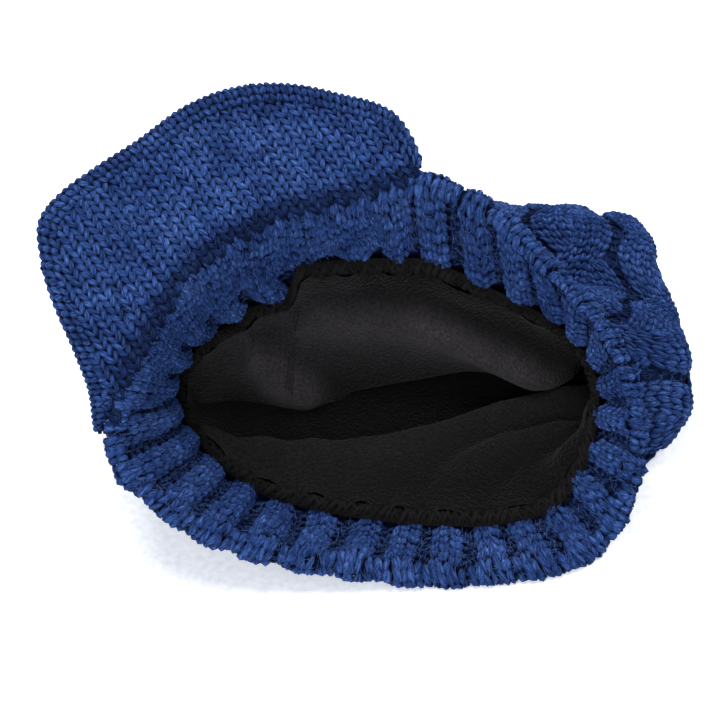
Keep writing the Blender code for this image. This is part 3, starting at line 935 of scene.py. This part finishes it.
def yarn_material(name, dark, middle, light):
    """Woolly yarn: plied fibres along each leg, their pale streaks partly a painted highlight, uneven dye,
    painted shade where it sinks in and a painted highlight on its crest, and a soft sheen.
    """
    material, tree, shader = nodes_of(name)
    place = add(tree, "ShaderNodeTexCoord")
    tint = add(tree, "ShaderNodeAttribute", attribute_name="tint")
    painted_relief_light = add(tree, "ShaderNodeAttribute", attribute_name="painted_relief_light")
    patches = noise(tree, place.outputs["Object"], 60.0, 3.0)
    stretch = add(tree, "ShaderNodeMapping")
    stretch.inputs["Scale"].default_value = (5.0, 1.3, 1.0)
    stretch.inputs["Rotation"].default_value = (0.0, 0.0, PLY_TWIST)
    tree.links.new(place.outputs["UV"], stretch.inputs["Vector"])
    fibres = noise(tree, stretch.outputs["Vector"], 1.3, 4.0, 0.75)
    fuzz = noise(tree, place.outputs["Object"], 1500.0, 3.0, 0.7)
    base = ramp(tree, patches.outputs["Fac"], ((0.3, dark), (0.5, middle), (0.72, light)))
    colour = tinted(
        tree,
        base.outputs["Color"],
        tint.outputs["Fac"],
        ((0.0, (0.70, 0.70, 0.72)), (1.0, (1.25, 1.25, 1.2))),
    )
    # Painted shade where the yarn sinks between its neighbours, painted highlight on its crest
    colour = tinted(
        tree,
        colour,
        painted_relief_light.outputs["Fac"],
        (
            (0.0, (0.03, 0.03, 0.04)),
            (0.4, (0.26, 0.27, 0.30)),
            (0.72, (1.0, 1.0, 1.0)),
            (1.0, (1.9, 1.7, 1.5)),
        ),
    )
    # Plied streaks along each leg; the pale, greyed top of this ramp is partly a painted highlight
    colour = tinted(
        tree,
        colour,
        fibres.outputs["Fac"],
        ((0.36, (0.22, 0.24, 0.28)), (0.50, (0.9, 0.9, 0.9)), (0.64, (2.7, 2.15, 1.75))),
    )
    colour = tinted(
        tree, colour, fuzz.outputs["Fac"], ((0.35, (0.75, 0.75, 0.75)), (0.68, (1.35, 1.32, 1.28)))
    )
    plies = bumped(tree, fibres.outputs["Fac"], 1.0, 0.0009)
    fine = bumped(tree, fuzz.outputs["Fac"], 0.6, 0.0003)
    finished(
        tree, shader, colour, 0.8, (plies, fine), Weight=0.06, Roughness=0.35, Tint=(0.5, 0.62, 1.0, 1.0)
    )
    return material


def fleece_material(name):
    """Brushed fleece: a fine nap of curls, with painted highlight and painted shade from the mesh's tint
    attribute.
    """
    material, tree, shader = nodes_of(name)
    place = add(tree, "ShaderNodeTexCoord")
    nap_and_painted_light = noise(tree, place.outputs["Object"], 850.0, 2.0, 0.6)
    patches = noise(tree, place.outputs["Object"], 90.0, 3.0)
    curls = add(tree, "ShaderNodeTexVoronoi")
    curls.inputs["Scale"].default_value = 900.0
    tree.links.new(place.outputs["Object"], curls.inputs["Vector"])
    dark, light = (0.0070, 0.0065, 0.0066), (0.0135, 0.0124, 0.0128)
    base = ramp(tree, nap_and_painted_light.outputs["Fac"], ((0.35, dark), (0.65, light)))
    colour = tinted(
        tree,
        base.outputs["Color"],
        patches.outputs["Fac"],
        ((0.3, (0.85, 0.85, 0.86)), (0.7, (1.12, 1.10, 1.10))),
    )
    painted_nap_light = add(tree, "ShaderNodeAttribute", attribute_name="tint")
    # Painted highlight on the folds and upper side, painted shade elsewhere
    colour = tinted(
        tree,
        colour,
        painted_nap_light.outputs["Fac"],
        ((0.0, (0.04, 0.04, 0.04)), (0.5, (0.75, 0.74, 0.78)), (1.0, (2.3, 2.26, 2.38))),
    )
    coarse = bumped(tree, nap_and_painted_light.outputs["Fac"], 1.0, 0.0016)
    fine = bumped(tree, curls.outputs["Distance"], 0.4, 0.0005)
    finished(
        tree, shader, colour, 0.95, (coarse, fine), Weight=0.06, Roughness=0.6, Tint=(0.75, 0.72, 0.74, 1.0)
    )
    return material


def plain_material(name, colour, roughness):
    """One colour with a faint grain."""
    material, tree, shader = nodes_of(name)
    place = add(tree, "ShaderNodeTexCoord")
    grain = noise(tree, place.outputs["Object"], 400.0, 3.0)
    shade = ramp(
        tree,
        grain.outputs["Fac"],
        ((0.3, tuple(0.85 * c for c in colour)), (0.7, tuple(min(1.15 * c, 1.0) for c in colour))),
    )
    finished(tree, shader, shade.outputs["Color"], roughness)
    return material


pieces = []


def dressed(title, made, material):
    """Makes a piece of yarn from its points, faces, tints and coordinates, and keeps it in the list."""
    points, quads, tints, uvs = made
    piece = mesh_object(title, points, quads, material, tints, uvs)
    pieces.append(piece)
    return piece


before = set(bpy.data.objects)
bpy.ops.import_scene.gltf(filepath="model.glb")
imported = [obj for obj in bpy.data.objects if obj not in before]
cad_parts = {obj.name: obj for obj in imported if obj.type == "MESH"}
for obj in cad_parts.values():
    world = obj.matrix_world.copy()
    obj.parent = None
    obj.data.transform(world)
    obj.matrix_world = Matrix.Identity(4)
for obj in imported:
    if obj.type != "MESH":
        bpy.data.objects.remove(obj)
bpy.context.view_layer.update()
rng = np.random.default_rng(7)

BLUE_DARK = (0.0085, 0.0255, 0.113)
BLUE_MIDDLE = (0.0125, 0.0365, 0.149)
BLUE_LIGHT = (0.0205, 0.0525, 0.194)
fluff = plain_material("knit_fluff", (0.040, 0.078, 0.225), 0.9)
wool = yarn_material("knit_wool", BLUE_DARK, BLUE_MIDDLE, BLUE_LIGHT)
# Painted shade: a near-black sheet behind the band's stitches and inside the peak stands for the shade in the
# gaps between stitches
under = plain_material("knit_bed_painted_shade", (0.003, 0.006, 0.026), 0.95)
fleece = fleece_material("fleece")
# Painted shade: a dark sheet behind the crown's cables
deep = plain_material("knit_deep_painted_shade", (0.007, 0.015, 0.055), 0.95)
thread = plain_material("overlock", (0.0085, 0.0078, 0.0078), 0.9)

# Band
band = Cloth(band_place, 0.0, BAND_RUN, rows=160, columns=1080)
middle_run = OUTER_RUN + RIM_RUN / 2
for name, low, high in (
    ("band_stitches_outer", 0.0, middle_run),
    ("band_stitches_inner", middle_run, BAND_RUN),
):
    dressed(name, band_stitches(band, rng, low, high - ROW_HEIGHT * 0.5), wool)
dressed("rim_loops", rim_loops(band, rng), wool)
points, quads = bed(band, 0.0, BAND_RUN, rows=50, columns=240, depth=YARN_BED)
band_bed = mesh_object("band_shade_sheet", points, quads, under)
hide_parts("ribbed_band")
pieces.append(band_bed)

# Crown
crown_run = WALL_LENGTH * CROWN_TIP
crown = Cloth(crown_place, BAND_WIDTH, crown_run, rows=300, columns=1080, face=-1.0)
for name, low, high in (
    ("crown_stitches_front", BAND_WIDTH + SEAM, CROWN_PART),
    ("crown_stitches_back", CROWN_PART, CROWN_END),
):
    dressed(name, crown_stitches(crown, rng, low, high), wool)
points, quads = bed(crown, BAND_WIDTH, crown_run, rows=60, columns=240, depth=0.0, tip=True)
crown_bed = mesh_object("crown_shade_sheet", points, quads, deep)
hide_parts("crown")
pieces.append(crown_bed)


def tip_place(share, run):
    """Points of the crown's gathered tip: run goes from its last row in to the middle."""
    ring = crown.place(share, np.full(len(share), CROWN_END), 0.0006)
    middle = crown.place(np.arange(60) / 60, np.full(60, CROWN_END), 0.0006).mean(axis=0)
    left = 1.0 - run / TIP_RUN
    return middle + (ring - middle) * left[:, None]


tip = Cloth(tip_place, 0.0, 0.95 * TIP_RUN, rows=12, columns=120, face=-1.0)
parts = []
# Rows of the tip's stitches: where they start, their height, and their number as a share of the first's
for row_at, tall, size in ((-0.0010, 0.0030, 1.0), (0.0016, 0.0028, 0.8), (0.0040, 0.0026, 0.6)):
    count = int(TIP_STITCHES * size)
    share = (np.arange(count) + rng.normal(0, 0.1, count)) / count
    row = np.full(count, row_at)
    parts += stitches(tip, share, row, 1 / count, tall, LEG, 0.85 * YARN, UNEVEN, rng)
dressed("crown_stitches_tip", joined(parts), wool)

# Peak
for name, upper in (("peak_stitches_under", False), ("peak_stitches_upper", True)):
    dressed(name, peak_stitches(PeakCloth(upper), rng), wool)
edge_end = math.pi * PEAK_THICKNESS / 2 + EDGE_WRAP
edge = Cloth(peak_edge_place, -EDGE_WRAP, edge_end, rows=60, columns=400, closed=False, face=-1.0)
edge_length = float(edge.metres(np.array([EDGE_COUNTED]))[0])
edge_count = int(edge_length / PEAK_COLUMN)
rows = np.arange(-EDGE_WRAP, edge_end - PEAK_ROW / 2, PEAK_ROW)
share, row = grid((np.arange(edge_count) + 0.5) / edge_count, rows)
edge_parts = [
    yarn(edge, share, row, 1 / edge_count, PEAK_ROW, LEG, np.full(len(share), side), PEAK_YARN, rng)
    for side in (-1.0, 1.0)
]
dressed("peak_stitches_edge", joined(edge_parts), wool)
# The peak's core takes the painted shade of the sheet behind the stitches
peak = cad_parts["peak"]
peak.data.materials.clear()
peak.data.materials.append(under)


# Lining
def fold_line(around, along, front, back, rows):
    """How far a fold stands out at each place: the nearest stretch of its line counts."""
    most = np.zeros(len(around))
    for (from_turn, from_along, from_size), (to_turn, to_along, to_size) in zip(rows, rows[1:]):
        ax = (np.mod(around - from_turn + 180.0, 360.0) - 180.0) * METRES_PER_DEGREE
        ay = along - from_along * WALL_LENGTH
        bx = (to_turn - from_turn) * METRES_PER_DEGREE
        by = (to_along - from_along) * WALL_LENGTH
        size = math.hypot(bx, by)
        at = np.clip((ax * bx + ay * by) / size**2, 0.0, 1.0)
        x, y = ax - at * bx, ay - at * by
        spread = np.where(x * by - y * bx > 0, front, back)
        stand = from_size + (to_size - from_size) * at
        most = np.maximum(most, stand * np.exp(-((np.hypot(x, y) / spread) ** 2)))
    return most


def lining_spot(share, row):
    """Direction around, distance from the rim of the sewn edge, and of the row below it."""
    turn = turn_of(share, BAND_WIDTH)
    start = sewn_edge(turn)
    return turn, start, start + (WALL_LENGTH * LINING_TIP - start) * row


def lining_place(share, row):
    """Points of the lining: puckered at its sewn edge, then loose, with its slack folds."""
    turn, start, along = lining_spot(share, row)
    ease = np.clip((along - BAND_WIDTH) / BAND_WIDTH, 0.0, 1.0)
    pleat = np.sin(2 * math.pi * PUCKERS * share + 2.0 * np.sin(2 * math.pi * 3 * share))
    pleat = PUCKER_HEIGHT * pleat * np.exp(-(along - start) / PUCKER_REACH)
    depth = KNIT_THICKNESS + RIB_HEIGHT + LINING_FIT + LINING_EASE * ease + LINING_THICKNESS + pleat
    points = wall(turn, along, np.maximum(depth, KNIT_THICKNESS + 0.0006))
    loose = np.clip((along - start) / SLACK_START, 0.0, 1.0)
    points = points + np.multiply.outer(bumps(FLEECE_FOLDS, turn, along) * loose, HANG)
    for front, back, aim, rows in FOLD_LINES:
        points = points + np.multiply.outer(fold_line(turn, along, front, back, rows) * loose, aim)
    points[:, 2] = np.maximum(points[:, 2], KNIT_THICKNESS + 0.001)
    return points


def lining_painted_light(share, row):
    """Painted light and shade on the fleece: a painted highlight on the folds and its upper side, painted
    shade on the floor's side, along the sewn edge behind the peak and far inside.
    """
    turn, start, along = lining_spot(share, row)
    # Painted light: lighter on the upper side, darker on the floor's side
    above = 0.5 + 0.5 * np.cos(np.radians(turn - PAINTED_LIGHT_TOWARDS))
    nap_and_painted_light = 0.05 + 0.45 * above
    # Painted shade along the sewn edge where it lies behind the peak
    behind = np.clip(1.0 - np.abs(turn % 360.0 - SHADED_TURN) / 34.0, 0.0, 1.0)
    nap_and_painted_light *= 1.0 - 0.75 * np.minimum(2.0 * behind, 1.0) * np.exp(-(((along - start) / 0.013) ** 2))
    # Painted highlight on the wide folds
    for front, back, aim, rows in FOLD_LINES[:HIGHLIGHTED_FOLD_LINES]:
        lighter = HIGHLIGHT_ON_FOLDS if aim is SWELL else HIGHLIGHT_ON_FLOOR_FOLDS
        nap_and_painted_light += lighter * fold_line(turn, along, front, back, rows)
    # Painted shade far inside the cap
    inside = np.clip((along / WALL_LENGTH - 0.27) / 0.10, 0.0, 1.0)
    return nap_and_painted_light * (1 - 0.8 * inside * inside * (3 - 2 * inside))


lining = Cloth(lining_place, 0.0, 1.0, rows=220, columns=720)
rows, columns = 130, 340
points, quads = bed(lining, 0.0, 1.0, rows, columns, depth=0.0, tip=True)
# The fleece's painted light and shade, kept as a colour attribute
nap_and_painted_light = lining_painted_light(*grid(np.arange(columns) / columns, np.linspace(0.0, 1.0, rows)))
nap_and_painted_light = np.concatenate([nap_and_painted_light] + [nap_and_painted_light[-columns:]] * len(TIP_RINGS))
lining_piece = mesh_object("lining_fleece", points, quads, fleece, np.stack((nap_and_painted_light, nap_and_painted_light), axis=1))
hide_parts("lining")
pieces.append(lining_piece)


def cord_place(share, run):
    """Points of the overlock's cord: run goes around its section, from its rim side to its tip side."""
    turn = turn_of(share, BAND_WIDTH)
    angle = math.pi / 2 - run / OVERLOCK_RADIUS
    middle = KNIT_THICKNESS + RIB_HEIGHT + OVERLOCK_RADIUS * 0.6
    along = sewn_edge(turn) + 0.8 * OVERLOCK_RADIUS * np.cos(angle)
    return wall(turn, along, middle + 0.8 * OVERLOCK_RADIUS * np.sin(angle))


half_round = 2.3 * OVERLOCK_RADIUS
cord = Cloth(cord_place, -half_round, half_round, rows=40, columns=1080)
parts = []
share = (np.arange(OVERLOCK_LOOPS) + rng.normal(0, 0.22, OVERLOCK_LOOPS)) / OVERLOCK_LOOPS
# Rows of the overlock's threads: their path, and their start and height in half rounds of the cord
for path, start, tall in ((OVER, -0.75, 1.5), (OVER_BACK, -0.55, 1.3), (CHAIN, 0.35, 0.5)):
    row = np.full(OVERLOCK_LOOPS, start * half_round) + rng.normal(0, LOOP_DRIFT, OVERLOCK_LOOPS)
    radius = OVERLOCK_THREAD * rng.normal(1.0, 0.24, OVERLOCK_LOOPS)
    sides = np.ones(OVERLOCK_LOOPS)
    tall *= half_round
    parts.append(yarn(cord, share, row, 1 / OVERLOCK_LOOPS, tall, path, sides, radius, rng))
overlock_piece = dressed("overlock_loops", joined(parts), thread)
points, quads = bed(cord, -half_round, half_round, rows=9, columns=300, depth=THREAD_BED)
overlock_core = mesh_object("overlock_core", points, quads, thread)
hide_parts("lining_overlock")
pieces.append(overlock_core)

# Fuzz
fuzz_parts = []
for cloth, count, low, high, height in (
    (band, BAND_FIBRES, FIBRE_INSET, BAND_RUN - FIBRE_INSET, BAND_FIBRE_BASE),
    (crown, CROWN_FIBRES, BAND_WIDTH + FIBRE_INSET, CROWN_END, CROWN_FIBRE_BASE),
):
    share, row = scattered(rng, count, low, high)
    if cloth is band:
        clear = uncovered(share, row)
        share, row = share[clear], row[clear]
        count = len(share)
    height = height * rng.uniform(0.7, 1.1, count)
    fuzz_parts.append(fibres(cloth, share, row, height, FIBRE_LENGTH, 0.7, rng))
dressed("yarn_fuzz", joined(fuzz_parts), fluff)
share, row = scattered(rng, THREAD_FIBRES, -half_round * 0.8, half_round * 0.8)
height = np.full(THREAD_FIBRES, THREAD_FIBRE_BASE)
dressed("overlock_fuzz", fibres(cord, share, row, height, THREAD_FIBRE, 1.2, rng), thread)

for piece in pieces:
    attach(piece, "root")

# Floor, light and camera
FLOOR_REACH = 4.0
FLOOR_DROP = 0.0002  # below the cap's lowest stitches
floor_mesh = bpy.data.meshes.new("floor")
corners = [(x * FLOOR_REACH, y * FLOOR_REACH, 0) for x, y in ((-1, -1), (1, -1), (1, 1), (-1, 1))]
floor_mesh.from_pydata(corners, [], [(0, 1, 2, 3)])
floor_object = bpy.data.objects.new("floor", floor_mesh)
floor_look = plain_material("floor", (0.84, 0.86, 0.92), 0.9)
floor_shader = floor_look.node_tree.nodes["Principled BSDF"]
floor_shader.inputs["Emission Color"].default_value = (0.92, 0.95, 1.0, 1.0)
floor_shader.inputs["Emission Strength"].default_value = 0.38
floor_mesh.materials.append(floor_look)
bpy.context.scene.collection.objects.link(floor_object)
floor_object.location.z = -FLOOR_DROP


def area_light(name, place, aim, size, power, colour=(1.0, 1.0, 1.0)):
    light = bpy.data.lights.new(name, "AREA")
    light.shape = "DISK"
    light.size = size
    light.energy = power
    light.color = colour
    thing = bpy.data.objects.new(name, light)
    bpy.context.scene.collection.objects.link(thing)
    thing.location = place
    direction = np.array(aim) - np.array(place)
    thing.rotation_euler = (
        math.atan2(np.hypot(direction[0], direction[1]), -direction[2]),
        0.0,
        math.atan2(-direction[0], direction[1]),
    )


area_light("key", (-0.30, 0.28, 1.3), (0, 0, 0.03), 0.7, 17)
area_light("side", (1.0, 0.45, 0.75), (0.05, 0, 0.05), 0.5, 9)
area_light("fill", (-0.35, -1.15, 0.50), (0, 0, 0.05), 0.9, 9)
world = bpy.data.worlds.new("world")
world.use_nodes = True
world.node_tree.nodes["Background"].inputs["Color"].default_value = (0.92, 0.95, 1.0, 1.0)
world.node_tree.nodes["Background"].inputs["Strength"].default_value = 0.5
bpy.context.scene.world = world
bpy.context.scene.view_settings.view_transform = "Standard"

ELEVATION = math.radians(48)
DISTANCE = 1.0  # from the frame's origin
HALF_VIEW = 0.135  # half the width seen at the cap, which lies nearer than the origin
NEARER = 0.08
camera_data = bpy.data.cameras.new("camera")
camera_data.sensor_width = 36
camera_data.angle = 2 * math.atan(HALF_VIEW / (DISTANCE - NEARER))
camera = bpy.data.objects.new("camera", camera_data)
camera.location = (0, -DISTANCE * math.cos(ELEVATION), DISTANCE * math.sin(ELEVATION))
camera.rotation_euler = (math.pi / 2 - ELEVATION, 0, 0)
bpy.context.scene.collection.objects.link(camera)
bpy.context.scene.camera = camera
